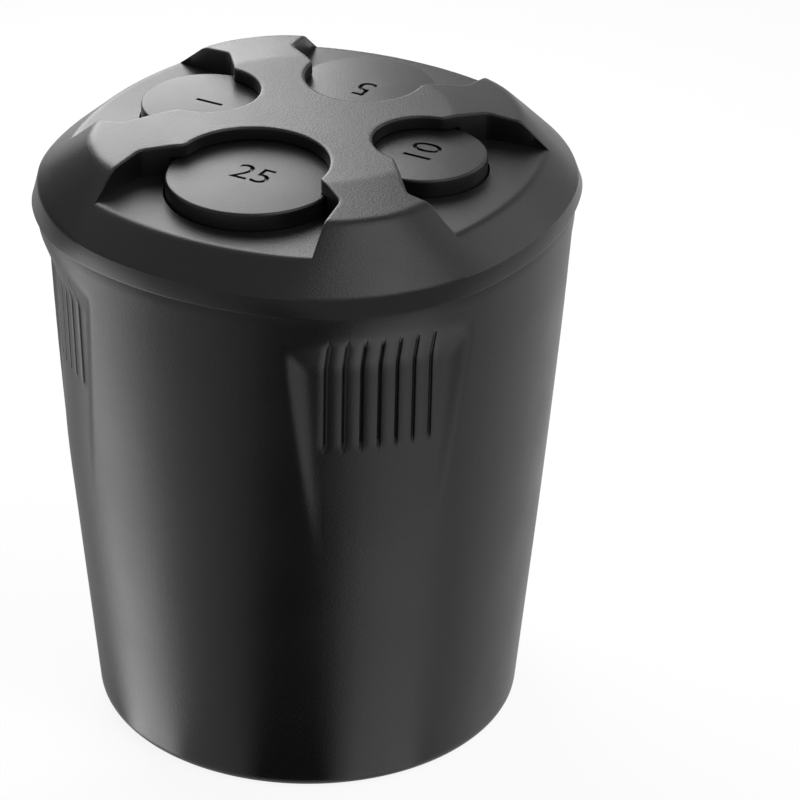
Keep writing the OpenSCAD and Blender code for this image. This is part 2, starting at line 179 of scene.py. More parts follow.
# Bands of a card on the floor, which shows in gloss only and mirrors down the wall: the wall's turn, in
# degrees to the right of the camera, and the brightness there
FLOOR_BANDS = (
    (-80.0, 0.5), (-61.0, 0.6), (-55.0, 4.6), (-41.0, 4.6), (-36.0, 1.2), (-19.0, 1.0),
    (-13.0, 0.12), (4.0, 0.12), (13.0, 2.3), (28.0, 2.3), (33.0, 1.1), (58.0, 1.1),
)
# Radius and height at which the card starts, its length, how a turn of the wall turns what it mirrors, and
# the number of slices of the card
FAN_START = 31.5 * MM
FAN_LIFT = 0.5 * MM
FAN_LENGTH = 0.22
FAN_TURN = 2.1
FAN_SLICES = 70
# Middle of the holder, which lamps and flags face
LAMP_MIDDLE = Vector((0, 0, 60 * MM))
# Half the width of the floor, its gap to the foot, its roughness, the share of it that shines where seen, and
# the strength at which the world lights
FLOOR_HALF = 4.0
FLOOR_GAP = 0.02 * MM
FLOOR_ROUGH = 0.9
FLOOR_GLOW = 0.9
WORLD_LIGHT = 0.12


def length(name, description, millimetres):
    """A length of the object that a user may change."""
    return FloatProperty(
        name=name, description=description, default=millimetres * MM, unit="LENGTH", precision=5
    )


def colour(name, description, value):
    """A colour of one finish."""
    return FloatVectorProperty(
        name=name, description=description, default=value, subtype="COLOR", size=3, min=0.0, max=1.0
    )


class CupSizes(bpy.types.PropertyGroup):
    """Sizes of the cup and its grips."""

    base_r: length("Base radius", "Radius of the wall at the foot", 31.0)
    corner_flare: length("Corner flare", "How far the wall widens under the arms", 7.6)
    flat_flare: length("Side flare", "How far the wall widens between the arms", 5.9)
    side_start: length("Side start", "How far the sides' curves lie outside the foot", 1.2)
    side_offset: length("Side offset", "How far the centre of a side's curve lies behind the axis", 15.0)
    corner_soft: length("Corner soft", "Blend between the sides and the corners", 1.2)
    wall: length("Wall", "Wall of the cup", 1.9)
    floor: length("Floor", "Thickness of the floor", 2.4)
    foot_round: length("Foot round", "Radius of the round at the foot", 1.8)
    foot_ring: length("Foot ring", "Width of the ring that the cup stands on", 3.0)
    foot_hollow: length("Foot hollow", "Height of the hollow inside that ring", 0.6)
    rim_round: length("Rim round", "Radius of the round on the outer edge of the rim", 0.4)
    rim_wall: length("Rim wall", "Wall left round the seat of the cap", 2.3)
    rim_seat: length("Rim seat", "Depth of the seat of the cap", 7.0)
    grip_w: length("Grip width", "Width of a grip panel between its slanted sides, at its top", 20.2)
    grip_side: length("Grip side", "Run of the slanted sides of a panel", 3.9)
    grip_taper: length("Grip taper", "How far each side of a panel draws in towards its foot", 1.8)
    grip_top_gap: length("Grip top gap", "Plain wall between the rim and a grip", 2.9)
    grip_ramp: length("Grip ramp", "Height of the ramp at the top of a grip", 6.3)
    grip_depth: length("Grip depth", "Depth of a panel at the foot of its ramp", 1.7)
    grip_h: length("Grip height", "Height of a panel below its ramp", 28.0)
    grip_rise: length("Grip rise", "Rise of the slanted sides over their run", 0.5)
    grip_soft: length("Grip soft", "Blend at the edges of a grip", 0.3)
    grip_reach: length("Grip reach", "Half the width of the wall that is finely divided for a grip", 17.0)
    groove_count: IntProperty(name="Grooves", description="Number of grooves on a panel", default=7, min=1)
    groove_pitch: length("Groove pitch", "Distance between grooves", 2.5)
    groove_w: length("Groove width", "Width of a groove", 0.65)
    groove_depth: length("Groove depth", "Depth of a groove", 0.4)
    groove_h: length("Groove height", "Height of a groove", 18.0)
    groove_drop: length("Groove drop", "Distance from the top of the ramp to the grooves", 1.3)


class CapSizes(bpy.types.PropertyGroup):
    """Sizes of the cap, its cross and its notches."""

    corner_r: length("Corner radius", "Radius of the cap's foot under the arms", 39.2)
    flat_r: length("Side radius", "Radius of the cap's foot between the arms", 37.5)
    band_h: length("Band height", "Height of the band at the foot", 2.7)
    band_lean_corner: length("Band lean, corner", "How far the band leans in under the arms", 1.0)
    band_lean_flat: length("Band lean, side", "How far the band leans in between the arms", 0.2)
    bevel_corner: length("Bevel, corner", "Run of the bevel under the arms", 8.7)
    bevel_flat: length("Bevel, side", "Run of the bevel between the arms", 10.0)
    deck_h: length("Deck height", "Height of the coin deck above the cap's foot", 6.8)
    deck_t: length("Deck thickness", "Thickness of the coin deck", 2.2)
    slot_h: length("Slot height", "Height of the way under the lips", 2.7)
    crown_r: length("Crown radius", "Radius of the flat crown", 20.6)
    arm_fall: length("Arm fall", "How far the arms fall over 10 mm outside the crown", 1.05)
    crease_soft: length("Crease soft", "Blend between the crown and the arms", 0.05)
    rim_soft: length("Rim soft", "Blend between the arms and the bevel", 0.5)
    deck_soft: length("Deck soft", "Blend between the deck and the bevel", 0.2)
    arm_w: length("Arm width", "Width of an arm between its notches", 11.6)
    front_arm: length("Front arm", "Place of the front arm along X", 2.2)
    back_arm: length("Back arm", "Place of the back arm along X", 0.0)
    left_arm: length("Left arm", "Place of the left arm along Y", 2.1)
    right_arm: length("Right arm", "Place of the right arm along Y", 0.5)
    arm_waist: length("Arm waist", "How far each side of an arm draws in before it widens", 1.0)
    arm_flare_r: length("Arm flare radius", "Distance from the axis to where the arms widen", 25.0)
    arm_flare_angle: FloatProperty(
        name="Arm flare angle", description="Angle at which the arms widen",
        default=math.radians(38), subtype="ANGLE",
    )
    quarter_lip: length("Quarter lip", "How far the lip covers the quarter", 1.5)
    dime_lip: length("Dime lip", "How far the lip covers the dime", 1.8)
    nickel_lip: length("Nickel lip", "How far the lip covers the nickel", 2.0)
    penny_lip: length("Penny lip", "How far the lip covers the penny", 2.0)
    edge_round: length("Edge round", "Round on the edges of the notches", 0.55)
    band_round: length("Band round", "Round between band and bevel", 0.3)
    rim_ring: length("Rim ring", "Width of the ring of the bevel that follows the outline", 1.2)
    notch_step: length("Notch step", "Length of the steps in the edge of a notch", 0.4)
    notch_soft: IntProperty(
        name="Notch soft", description="Passes that soften the corners of a notch in plan", default=3, min=0
    )
    skirt_h: length("Skirt height", "Length of the skirt inside the cup", 6.0)
    skirt_r: length("Skirt radius", "Outer radius of the skirt", 34.5)
    skirt_t: length("Skirt wall", "Wall of the skirt", 1.8)
    grid: length("Grid", "Width of the cells that follow the cap's curves", 0.45)


class StackSizes(bpy.types.PropertyGroup):
    """Sizes of the coin stacks: tubes, pushers, springs and their plate."""

    quarter_d: length("Quarter", "Diameter of the quarter", 24.26)
    dime_d: length("Dime", "Diameter of the dime", 17.91)
    nickel_d: length("Nickel", "Diameter of the nickel", 21.21)
    penny_d: length("Penny", "Diameter of the penny", 19.05)
    coin_gap: length("Coin gap", "Gap between a coin and its tube", 0.3)
    tube_wall: length("Tube wall", "Wall of a coin tube", 0.7)
    tube_seat: length("Tube seat", "Depth of the seat of a tube in the cap", 1.2)
    seat_gap: length("Seat gap", "Gap between a tube and its seat", 0.05)
    tube_round: length("Tube round", "Round on the ends of a tube", 0.2)
    pusher_round: length("Pusher round", "Round on the edge of a pusher", 0.4)
    pusher_top: length("Pusher top", "Thickness of a pusher's top", 2.4)
    pusher_wall: length("Pusher wall", "Wall of a pusher's skirt", 1.1)
    number_size: length("Number size", "Type size of the numbers", 6.2)
    number_depth: length("Number depth", "Depth of the numbers", 0.4)
    wire_d: length("Wire", "Thickness of the spring wire", 0.9)
    spring_gap: length("Spring gap", "Gap between a spring and its pusher's skirt", 0.4)
    leg: length("Spring leg", "Height of the wire's straight ends", 1.35)
    quarter_turns: IntProperty(name="Quarter turns", description="Turns of the quarter's spring", default=7)
    dime_turns: IntProperty(name="Dime turns", description="Turns of the dime's spring", default=9)
    nickel_turns: IntProperty(name="Nickel turns", description="Turns of the nickel's spring", default=8)
    penny_turns: IntProperty(name="Penny turns", description="Turns of the penny's spring", default=8)
    plate_t: length("Plate", "Thickness of the plate under the springs", 2.4)
    ring_wall: length("Ring wall", "Wall of the rings on the plate", 1.0)
    ring_gap: length("Ring gap", "Gap between a ring and its tube", 0.1)


class FinishColours(bpy.types.PropertyGroup):
    """Colours of the finishes."""

    shell: colour("Shell", "Black plastic of cup and cap", (0.004, 0.0041, 0.0042))
    pusher: colour("Pusher", "Black plastic of the pushers", (0.0045, 0.0046, 0.0047))
    inner: colour("Inner", "Dark plastic of tubes and plate", (0.03, 0.031, 0.032))
    steel: colour("Steel", "Spring wire", (0.56, 0.57, 0.58))
    floor: colour("Floor", "Floor under the holder", (0.92, 0.92, 0.92))


def soft_min(first, second, blend):
    """The smaller value, rounded where the two lie within the blend of each other."""
    overlap = max(blend - abs(first - second), 0.0) / blend
    return min(first, second) - overlap * overlap * blend / 4


def soft_max(first, second, blend):
    """The larger value, rounded in the same way."""
    return -soft_min(-first, -second, blend)


def smooth_step(value):
    """Eases a value from 0 to 1."""
    value = min(max(value, 0.0), 1.0)
    return value * value * (3 - 2 * value)


def spread(first, last, count):
    """Evenly spaced values from first to last."""
    return [first + (last - first) * i / (count - 1) for i in range(count)]


def stack_middle(coin):
    """Axis of a coin's stack, from the opening that the record states in its tube."""
    for opening in frame["record"]["physics"]["openings"]:
        if opening["name"] == coin + "_tube_bore":
            low, high = (Vector(corner) for corner in opening["box_m"])
            middle = (low + high) / 2
            return Vector((middle.x, middle.y, 0.0))
    raise RuntimeError("the record states no tube bore for " + coin)


def coin_r(stack, coin):
    """Radius of a coin."""
    return getattr(stack, coin + "_d") / 2


def bore_r(stack, coin):
    """Radius of the bore of a coin's tube."""
    return coin_r(stack, coin) + stack.coin_gap


def outward_turn(axis):
    """Turn of the way out of a notch, halfway between its arms."""
    return math.atan2(math.copysign(1, axis.y), math.copysign(1, axis.x))


def mesh_of(name, bm):
    """Makes a mesh of a bmesh, which is freed."""
    mesh = bpy.data.meshes.new(name)
    bm.to_mesh(mesh)
    bm.free()
    return mesh


def add_object(name, data):
    """Puts data into the scene as a new object."""
    item = bpy.data.objects.new(name, data)
    bpy.context.scene.collection.objects.link(item)
    return item


def finished_mesh(item):
    """A mesh of an object as its modifier or its text leaves it."""
    bpy.context.view_layer.update()
    shown = item.evaluated_get(bpy.context.evaluated_depsgraph_get())
    return bpy.data.meshes.new_from_object(shown)


def place_mesh(name, mesh, material, body, nodes, sharp=SHARP_EDGE):
    """Makes an object of a mesh, smooth but for its sharp edges, and gives it its place in the frame."""
    mesh.shade_smooth()
    mesh.set_sharp_from_angle(angle=math.radians(sharp))
    mesh.materials.clear()
    mesh.materials.append(material)
    piece = add_object(name, mesh)
    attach(piece, body)
    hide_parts(*nodes)
    return piece


def new_piece(name, bm, material, body, nodes, sharp=SHARP_EDGE):
    """Makes an object of a bmesh in the same way."""
    return place_mesh(name, mesh_of(name, bm), material, body, nodes, sharp)


def extrude_ring(bm, edges, place):
    """Extrudes a ring of edges and moves each new vertex to where place says."""
    made = bmesh.ops.extrude_edge_only(bm, edges=edges)["geom"]
    fresh = [item for item in made if isinstance(item, bmesh.types.BMVert)]
    for vert in fresh:
        vert.co = place(vert)
    known = set(fresh)
    return [
        item for item in made
        if isinstance(item, bmesh.types.BMEdge) and item.verts[0] in known and item.verts[1] in known
    ]


def on_ring(radius, z):
    """Gives the place of a vertex on a circle round the axis, in the vertex's own direction."""
    def place(vert):
        flat = Vector((vert.co.x, vert.co.y, 0)).normalized()
        return flat * radius + Vector((0, 0, z))
    return place


def spun(profile, axis, steps=TURNED_STEPS):
    """A bmesh of a closed profile of radius and height points, turned round an upright axis."""
    bm = bmesh.new()
    verts = [bm.verts.new((axis.x + radius, axis.y, height)) for radius, height in profile]
    edges = [bm.edges.new(pair) for pair in zip(verts, verts[1:] + verts[:1])]
    bmesh.ops.spin(
        bm, geom=verts + edges, cent=axis, axis=(0, 0, 1), angle=2 * math.pi, steps=steps, use_merge=True
    )
    bmesh.ops.remove_doubles(bm, verts=bm.verts, dist=MERGE)
    bmesh.ops.dissolve_degenerate(bm, edges=bm.edges, dist=MERGE)
    bmesh.ops.recalc_face_normals(bm, faces=bm.faces)
    return bm


def quarter_round(centre_r, centre_z, radius, start, stop, count):
    """Points of an arc in a profile, between two angles in degrees."""
    angles = [math.radians(angle) for angle in spread(start, stop, count)]
    return [(centre_r + radius * math.cos(a), centre_z + radius * math.sin(a)) for a in angles]


def cut_with(name, bm, cutters):
    """The mesh of a bmesh less its cutters, which are removed."""
    body = add_object(name, mesh_of(name, bm))
    group = bpy.data.collections.new(name + "_cutters")
    for index, cutter in enumerate(cutters):
        group.objects.link(bpy.data.objects.new("cutter_%d" % index, mesh_of("cutter", cutter)))
    modifier = body.modifiers.new("cut", "BOOLEAN")
    modifier.operation = "DIFFERENCE"
    modifier.solver = "MANIFOLD"
    modifier.operand_type = "COLLECTION"
    modifier.collection = group
    result = finished_mesh(body)
    for cutter in list(group.objects):
        bpy.data.objects.remove(cutter)
    bpy.data.collections.remove(group)
    bpy.data.objects.remove(body)
    result.name = name
    return result


def box_shape(low, high, turn, centre):
    """A bmesh box between two corners, turned about the upright axis and moved to a centre."""
    bm = bmesh.new()
    size = high - low
    bmesh.ops.create_cube(bm, size=1.0)
    bmesh.ops.scale(bm, vec=size, verts=bm.verts)
    bmesh.ops.translate(bm, vec=(low + high) / 2, verts=bm.verts)
    bmesh.ops.rotate(bm, cent=(0, 0, 0), matrix=Matrix.Rotation(turn, 3, "Z"), verts=bm.verts)
    bmesh.ops.translate(bm, vec=centre, verts=bm.verts)
    return bm


def grain_group():
    """Node group of moulded plastic: a fine grain for the bump and a slow mottle for colour and gloss."""
    group = bpy.data.node_groups.get("moulded_grain")
    if group:
        return group
    group = bpy.data.node_groups.new("moulded_grain", "ShaderNodeTree")
    group.interface.new_socket("Grain Scale", in_out="INPUT", socket_type="NodeSocketFloat")
    group.interface.new_socket("Mottle Scale", in_out="INPUT", socket_type="NodeSocketFloat")
    group.interface.new_socket("Grain", in_out="OUTPUT", socket_type="NodeSocketFloat")
    group.interface.new_socket("Mottle", in_out="OUTPUT", socket_type="NodeSocketFloat")
    nodes, links = group.nodes, group.links
    inputs = nodes.new("NodeGroupInput")
    outputs = nodes.new("NodeGroupOutput")
    place = nodes.new("ShaderNodeTexCoord")
    grain = nodes.new("ShaderNodeTexNoise")
    grain.inputs["Detail"].default_value = 3.0
    grain.inputs["Roughness"].default_value = 0.6
    mottle = nodes.new("ShaderNodeTexNoise")
    mottle.inputs["Detail"].default_value = 5.0
    for texture, scale in ((grain, "Grain Scale"), (mottle, "Mottle Scale")):
        links.new(place.outputs["Object"], texture.inputs["Vector"])
        links.new(inputs.outputs[scale], texture.inputs["Scale"])
    links.new(grain.outputs["Fac"], outputs.inputs["Grain"])
    links.new(mottle.outputs["Fac"], outputs.inputs["Mottle"])
    return group


def new_finish(name):
    """A new material, with its nodes, its links and its shader."""
    material = bpy.data.materials.new(name)
    material.use_nodes = True
    tree = material.node_tree
    return material, tree.nodes, tree.links, tree.nodes["Principled BSDF"]


def mottled_gloss(nodes, links, shader, scale, span, rough):
    """Adds the grain group, lets its mottle change the roughness, and returns its node."""
    grain = nodes.new("ShaderNodeGroup")
    grain.node_tree = grain_group()
    grain.inputs["Mottle Scale"].default_value = scale
    gloss = nodes.new("ShaderNodeMapRange")
    for socket, value in zip(("From Min", "From Max", "To Min", "To Max"), (*span, *rough)):
        gloss.inputs[socket].default_value = value
    links.new(grain.outputs["Mottle"], gloss.inputs["Value"])
    links.new(gloss.outputs["Result"], shader.inputs["Roughness"])
    return grain


def plastic(context, finish):
    """Satin moulded plastic with a fine grain and a little change of gloss."""
    name = finish + "_plastic"
    if name in bpy.data.materials:
        return bpy.data.materials[name]
    base = getattr(context.scene.finish_colours, finish)
    grain_scale, bump, rough_low, rough_high, specular = PLASTICS[finish]
    material, nodes, links, shader = new_finish(name)
    shader.inputs["Specular IOR Level"].default_value = specular
    grain = mottled_gloss(nodes, links, shader, MOTTLE_SCALE, MOTTLE_SPAN, (rough_low, rough_high))
    grain.inputs["Grain Scale"].default_value = grain_scale
    tint = nodes.new("ShaderNodeMix")
    tint.data_type = "RGBA"
    for socket, share in zip(("A", "B"), TINTS):
        tint.inputs[socket].default_value = (*(share * tone for tone in base), 1.0)
    relief = nodes.new("ShaderNodeBump")
    relief.inputs["Strength"].default_value = bump
    relief.inputs["Distance"].default_value = GRAIN_HEIGHT
    links.new(grain.outputs["Mottle"], tint.inputs["Factor"])
    links.new(tint.outputs["Result"], shader.inputs["Base Color"])
    links.new(grain.outputs["Grain"], relief.inputs["Height"])
    links.new(relief.outputs["Normal"], shader.inputs["Normal"])
    return material


def spring_steel(context):
    """Drawn spring wire with a little change of gloss."""
    material, nodes, links, shader = new_finish("spring_steel")
    shader.inputs["Metallic"].default_value = 1.0
    shader.inputs["Base Color"].default_value = (*context.scene.finish_colours.steel, 1.0)
    mottled_gloss(nodes, links, shader, STEEL_MOTTLE, STEEL_SPAN, STEEL_ROUGH)
    return material


def four_sided_r(turn, corner, flat, offset, soft):
    """Radius of an outline with round corners on the arms and flatter sides between them."""
    from_side = (turn % (math.pi / 2)) - math.pi / 4
    reach = flat + offset
    side = math.sqrt(reach ** 2 - (offset * math.sin(from_side)) ** 2) - offset * math.cos(from_side)
    return soft_min(corner, side, soft)


def wall_r(cup, turn, z):
    """Radius of the cup's plain wall at a turn from an arm."""
    share = z / CUP_TOP
    corner = cup.base_r + cup.corner_flare * share
    flat = cup.base_r + cup.side_start + (cup.flat_flare - cup.side_start) * share
    return four_sided_r(turn, corner, flat, cup.side_offset, cup.corner_soft)


def corner_line(cup, z):
    """Radius of the cup under the middle of an arm."""
    return cup.base_r + cup.corner_flare * z / CUP_TOP


def groove_mask(cup, across, z):
    """How deep the grooves are at a place on a grip, from 0 to 1."""
    top = CUP_TOP - cup.grip_top_gap - cup.groove_drop
    along = smooth_step(min(top - z, z - (top - cup.groove_h)) / cup.groove_w)
    if along == 0:
        return 0.0
    half_row = (cup.groove_count - 1) / 2
    nearest = min(max(round(across / cup.groove_pitch), -half_row), half_row)
    beside = abs(across - nearest * cup.groove_pitch) / (cup.groove_w / 2)
    return along * smooth_step(GROOVE_FLANK * (1 - beside))


def grip_out(cup, across, z):
    """Distance from the axis to the floor of a grip, along its arm."""
    ramp_z = CUP_TOP - cup.grip_top_gap
    panel_z = ramp_z - cup.grip_ramp
    panel = corner_line(cup, panel_z) - cup.grip_depth
    lean = (panel - corner_line(cup, panel_z - cup.grip_h)) / cup.grip_h
    rise = (corner_line(cup, ramp_z) - panel) / cup.grip_ramp
    low = panel + lean * (z - panel_z)
    line = soft_max(low, panel + rise * (z - panel_z), cup.grip_soft)
    curved = math.sqrt(line ** 2 - across ** 2)
    down = min(max((panel_z - z) / cup.grip_h, 0.0), 1.0)
    half = cup.grip_w / 2 - cup.grip_taper * down
    slanted = math.sqrt(low ** 2 - half ** 2) + (abs(across) - half) * cup.grip_rise / cup.grip_side
    return soft_max(curved, slanted, cup.grip_soft)


def grip_point(cup, arm, across, z):
    """Point of the outer wall near a grip, at a distance across its arm."""
    turn = across / corner_line(cup, z)
    for _ in range(ACROSS_PASSES):
        out = math.sqrt(wall_r(cup, turn, z) ** 2 - across ** 2)
        turn = math.atan2(across, out)
    if z > cup.floor:
        out = soft_min(out, grip_out(cup, across, z), cup.grip_soft)
        out -= cup.groove_depth * groove_mask(cup, across, z)
    return Matrix.Rotation(arm, 3, "Z") @ Vector((out, across, z))


def wall_point(cup, column, z):
    """Point of the outer wall on a column at a height."""
    arm, across, share = column
    if share is None:
        return grip_point(cup, arm, across, z)
    edge = math.asin(cup.grip_reach / wall_r(cup, GRIP_EDGE_TURN, z))
    turn = edge + share * (math.pi / 2 - 2 * edge)
    return Matrix.Rotation(arm + turn, 3, "Z") @ Vector((wall_r(cup, turn, z), 0, z))


def cup_columns(cup):
    """Columns of the wall: close together over the grips, wider between them."""
    half = cup.groove_w / 2
    across = []
    for index in range(cup.groove_count):
        middle = (index - (cup.groove_count - 1) / 2) * cup.groove_pitch
        across += [middle + half * part for part in GROOVE_COLUMNS]
        across.append(middle + cup.groove_pitch / 2)
    last = across.pop()
    flank = spread(last, cup.grip_reach, FLANK_COLUMNS)
    across = [-value for value in reversed(flank)] + across + flank
    shares = spread(0, 1, SIDE_COLUMNS)[1:-1]
    columns = []
    for arm in ARM_TURNS:
        columns += [(arm, value, None) for value in across]
        columns += [(arm, None, share) for share in shares]
    return columns


def cup_rows(cup):
    """Heights of the rows of the wall above the round of the foot."""
    grip_top = CUP_TOP - cup.grip_top_gap
    grip_low = grip_top - cup.grip_ramp - cup.grip_h - GRIP_BELOW
    rows = spread(cup.foot_round + FOOT_GAP, grip_low, LOW_ROWS)
    return rows + spread(grip_low, grip_top + GRIP_ABOVE, GRIP_ROWS)[1:]


def make_cup(cup):
    """The bmesh of the cup: outer wall with grips, rim, inside and foot."""
    height = CUP_TOP
    columns = cup_columns(cup)
    bm = bmesh.new()
    layer = bm.verts.layers.int.new("column")
    lean = math.atan2(cup.corner_flare, height)
    round_r = cup.base_r - cup.foot_round * math.tan((math.pi / 2 - lean) / 2)
    ring_r = cup.base_r - cup.foot_round - cup.foot_ring
    bmesh.ops.create_circle(bm, cap_ends=True, segments=len(columns), radius=1.0)
    bm.verts.ensure_lookup_table()
    for index, vert in enumerate(bm.verts):
        vert[layer] = index

    def on_circle(radius, z):
        def place(vert):
            point = wall_point(cup, columns[vert[layer]], cup.floor)
            point.z = 0
            return point.normalized() * radius + Vector((0, 0, z))
        return place

    for vert in bm.verts:
        vert.co = on_circle(ring_r, cup.foot_hollow)(vert)
    edges = list(bm.edges)
    edges = extrude_ring(bm, edges, on_circle(ring_r, 0))
    foot = quarter_round(
        round_r, cup.foot_round, cup.foot_round, -90, -math.degrees(lean), FOOT_POINTS
    )
    for radius, z in foot:
        edges = extrude_ring(bm, edges, on_circle(radius, z))
    for z in cup_rows(cup):
        edges = extrude_ring(bm, edges, lambda vert: wall_point(cup, columns[vert[layer]], z))
    for angle in spread(0, math.pi / 2, EDGE_POINTS):
        z = height - cup.rim_round * (1 - math.sin(angle))
        inset = cup.rim_round * (1 - math.cos(angle))

        def rim(vert):
            point = wall_point(cup, columns[vert[layer]], z)
            return point - Vector((point.x, point.y, 0)).normalized() * inset
        edges = extrude_ring(bm, edges, rim)

    seat_r = cup.base_r + cup.flat_flare - cup.rim_wall
    seat_z = height - cup.rim_seat
    inner = [cup.base_r - cup.wall + cup.flat_flare * z / height for z in (seat_z, cup.floor)]
    for radius, z in ((seat_r, height), (seat_r, seat_z), (inner[0], seat_z), (inner[1], cup.floor)):
        edges = extrude_ring(bm, edges, on_ring(radius, z))
    bmesh.ops.edgeloop_fill(bm, edges=edges)
    bmesh.ops.recalc_face_normals(bm, faces=bm.faces)
    return bm


class HOLDER_OT_cup(bpy.types.Operator):
    """Makes the tapered cup with its four grips"""

    bl_idname = "holder.cup"
    bl_label = "Cup"

    def execute(self, context):
        bm = make_cup(context.scene.cup_sizes)
        new_piece("outer_cup_shell", bm, plastic(context, "shell"), HOUSING, ["outer_cup"])
        return {"FINISHED"}


def cap_heights(cap):
    """Heights of the cap's foot, band, deck, lips and crown, from the frame and the sizes."""
    foot = CUP_TOP
    deck = foot + cap.deck_h
    return foot, foot + cap.band_h, deck, deck + cap.slot_h, CAP_TOP


def bevel_z(cap, side_offset, x, y):
    """Height of the bevel that runs round the cap, at a place in plan."""
    _, band_z, _, _, top_z = cap_heights(cap)
    rise = top_z - band_z
    corner = cap.corner_r - cap.band_lean_corner
    flat = cap.flat_r - cap.band_lean_flat
    from_axis = math.hypot(x, y)
    from_side = max(
        math.hypot(x + side_offset * math.cos(turn), y + side_offset * math.sin(turn)) - side_offset
        for turn in SIDE_TURNS
    )
    on_corner = band_z + rise * (corner - from_axis) / cap.bevel_corner
    on_flat = band_z + rise * (flat - from_side) / cap.bevel_flat
    return soft_min(on_corner, on_flat, cap.rim_soft)


def cap_surface(cap, side_offset, x, y):
    """Heights of the notch floor and of the arms at a place in plan."""
    _, _, deck, _, top = cap_heights(cap)
    bevel = bevel_z(cap, side_offset, x, y)
    fall = cap.arm_fall / FALL_RUN
    arm = soft_min(top, top + fall * (cap.crown_r - math.hypot(x, y)), cap.crease_soft)
    return soft_min(deck, bevel, cap.deck_soft), soft_min(arm, bevel, cap.rim_soft)


def outline_r(cap, side_offset, turn):
    """Radius at which the bevel comes down to the band, in one direction."""
    _, band_z, _, _, _ = cap_heights(cap)
    low, high = OUTLINE_START * cap.flat_r, OUTLINE_STOP * cap.corner_r
    for _ in range(HALVINGS):
        middle = (low + high) / 2
        if bevel_z(cap, side_offset, middle * math.cos(turn), middle * math.sin(turn)) > band_z:
            low = middle
        else:
            high = middle
    return low


def arc_points(centre, radius, first, last, step):
    """Points of an arc in plan, both ends included."""
    count = max(2, math.ceil(abs(last - first) * radius / step) + 1)
    return [
        centre + radius * Vector((math.cos(a), math.sin(a))) for a in spread(first, last, count)
    ]


def soft_line(line, step, passes):
    """A line in plan with even steps and softened corners, its ends kept."""
    points = [line[0]]
    for first, last in zip(line, line[1:]):
        count = max(1, round((last - first).length / step))
        points += [first.lerp(last, (index + 1) / count) for index in range(count)]
    for _ in range(passes):
        middle = [(a + 2 * b + c) / 4 for a, b, c in zip(points, points[1:], points[2:])]
        points = [points[0]] + middle + [points[-1]]
    return points


def notch_side(cap, side_offset, centre, sign, edge, radius, along):
    """Points of a notch beside one arm: at the hollow, where the arm widens, and near the outline."""
    across = 1 - along
    half = math.sqrt(radius ** 2 - (edge[across] - centre[across]) ** 2)
    tooth = edge.copy()
    tooth[along] = centre[along] + sign[along] * half
    widen = edge.copy()
    widen[along] = sign[along] * cap.arm_flare_r
    widen[across] -= sign[across] * cap.arm_waist
    way = Vector((0, 0))
    way[along] = sign[along] * math.cos(cap.arm_flare_angle)
    way[across] = sign[across] * math.sin(cap.arm_flare_angle)
    run = 0.0
    step = cap.corner_r / 2
    while step > MERGE:
        point = widen + way * (run + step)
        turn = math.atan2(point.y, point.x)
        if point.length < outline_r(cap, side_offset, turn) - cap.rim_ring:
            run += step
        step /= 2
    return tooth, widen, widen + way * run


def notch_line(cap, stack, side_offset, coin):
    """Edge of a notch in plan, from the arm before it to the arm after it."""
    centre = stack_middle(coin).to_2d()
    sign = Vector((math.copysign(1, centre.x), math.copysign(1, centre.y)))
    beside = Vector((
        cap.front_arm if sign.y < 0 else cap.back_arm,
        cap.left_arm if sign.x < 0 else cap.right_arm,
    ))
    edge = beside + sign * cap.arm_w / 2
    radius = coin_r(stack, coin) - getattr(cap, coin + "_lip")
    sides = [notch_side(cap, side_offset, centre, sign, edge, radius, along) for along in (0, 1)]
    if sign.x * sign.y < 0:
        sides.reverse()
    (first, first_widen, first_end), (last, last_widen, last_end) = sides
    start = math.atan2(*(first - centre).yx)
    sweep = (math.atan2(*(last - centre).yx) - start) % (2 * math.pi)
    hollow = arc_points(centre, radius, start, start + sweep - 2 * math.pi, cap.notch_step)
    line = [first_end, first_widen] + hollow + [last_widen, last_end]
    return soft_line(line, cap.notch_step, cap.notch_soft)


def outline_points(cap, side_offset, first, last):
    """Points of the cap's outline between two points on it, counter-clockwise, ends left out."""
    start = math.atan2(first.y, first.x)
    sweep = (math.atan2(last.y, last.x) - start) % (2 * math.pi)
    count = math.ceil(sweep * cap.corner_r / cap.grid) + 1
    points = []
    for turn in spread(start, start + sweep, count)[1:-1]:
        radius = outline_r(cap, side_offset, turn) - cap.rim_ring
        points.append(radius * Vector((math.cos(turn), math.sin(turn))))
    return points


def cap_plan(cap, stack, side_offset, bm):
    """Draws the cap's plan as five faces: the cross and the floors of four notches."""
    mark = bm.verts.layers.int.new("notch")
    lines = [notch_line(cap, stack, side_offset, coin) for coin in COINS]
    rings = [[bm.verts.new((*point, 0)) for point in line] for line in lines]
    for ring in rings:
        for vert in ring:
            vert[mark] = 1
    cross = []
    for index, (line, ring) in enumerate(zip(lines, rings)):
        following = lines[(index + 1) % len(lines)]
        mouth = outline_points(cap, side_offset, line[0], line[-1])
        outer = [bm.verts.new((*point, 0)) for point in mouth]
        bm.faces.new([ring[0]] + outer + ring[:0:-1])
        arm_end = outline_points(cap, side_offset, line[-1], following[0])
        cross += ring + [bm.verts.new((*point, 0)) for point in arm_end]
    return bm.faces.new(cross), mark


